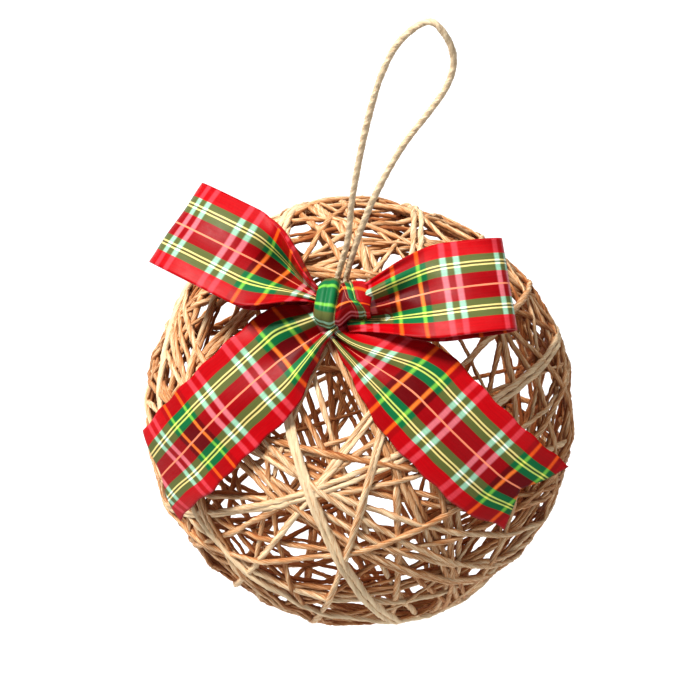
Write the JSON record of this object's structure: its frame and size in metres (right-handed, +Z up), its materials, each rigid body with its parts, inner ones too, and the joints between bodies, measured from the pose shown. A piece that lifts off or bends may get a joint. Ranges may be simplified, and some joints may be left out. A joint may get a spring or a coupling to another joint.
{
  "type": "twine ball ornament",
  "caption": "Openwork ball of wound jute twine with a twine hanging loop at its top and a tartan ribbon bow in front of the loop.",
  "frame": {"origin": "where a hook bears on the hanging loop, inside its top; the ball hangs straight below it", "axes": "+Z up, from the ball's centre to the hook; the bow is at the front, toward -Y; +X is to the right as seen from the front"},
  "size_m": [0.115, 0.1142, 0.19],
  "materials": {
    "jute_twine": "light tan jute twine, stiffened with glue",
    "loop_twine": "thin light jute twine",
    "tartan_ribbon": "red, green and white tartan ribbon with a satin sheen"
  },
  "bodies": {
    "root": {"twine_ball": "jute_twine", "hanging_loop": "loop_twine", "ribbon_bow": "tartan_ribbon"}
  },
  "joints": []
}
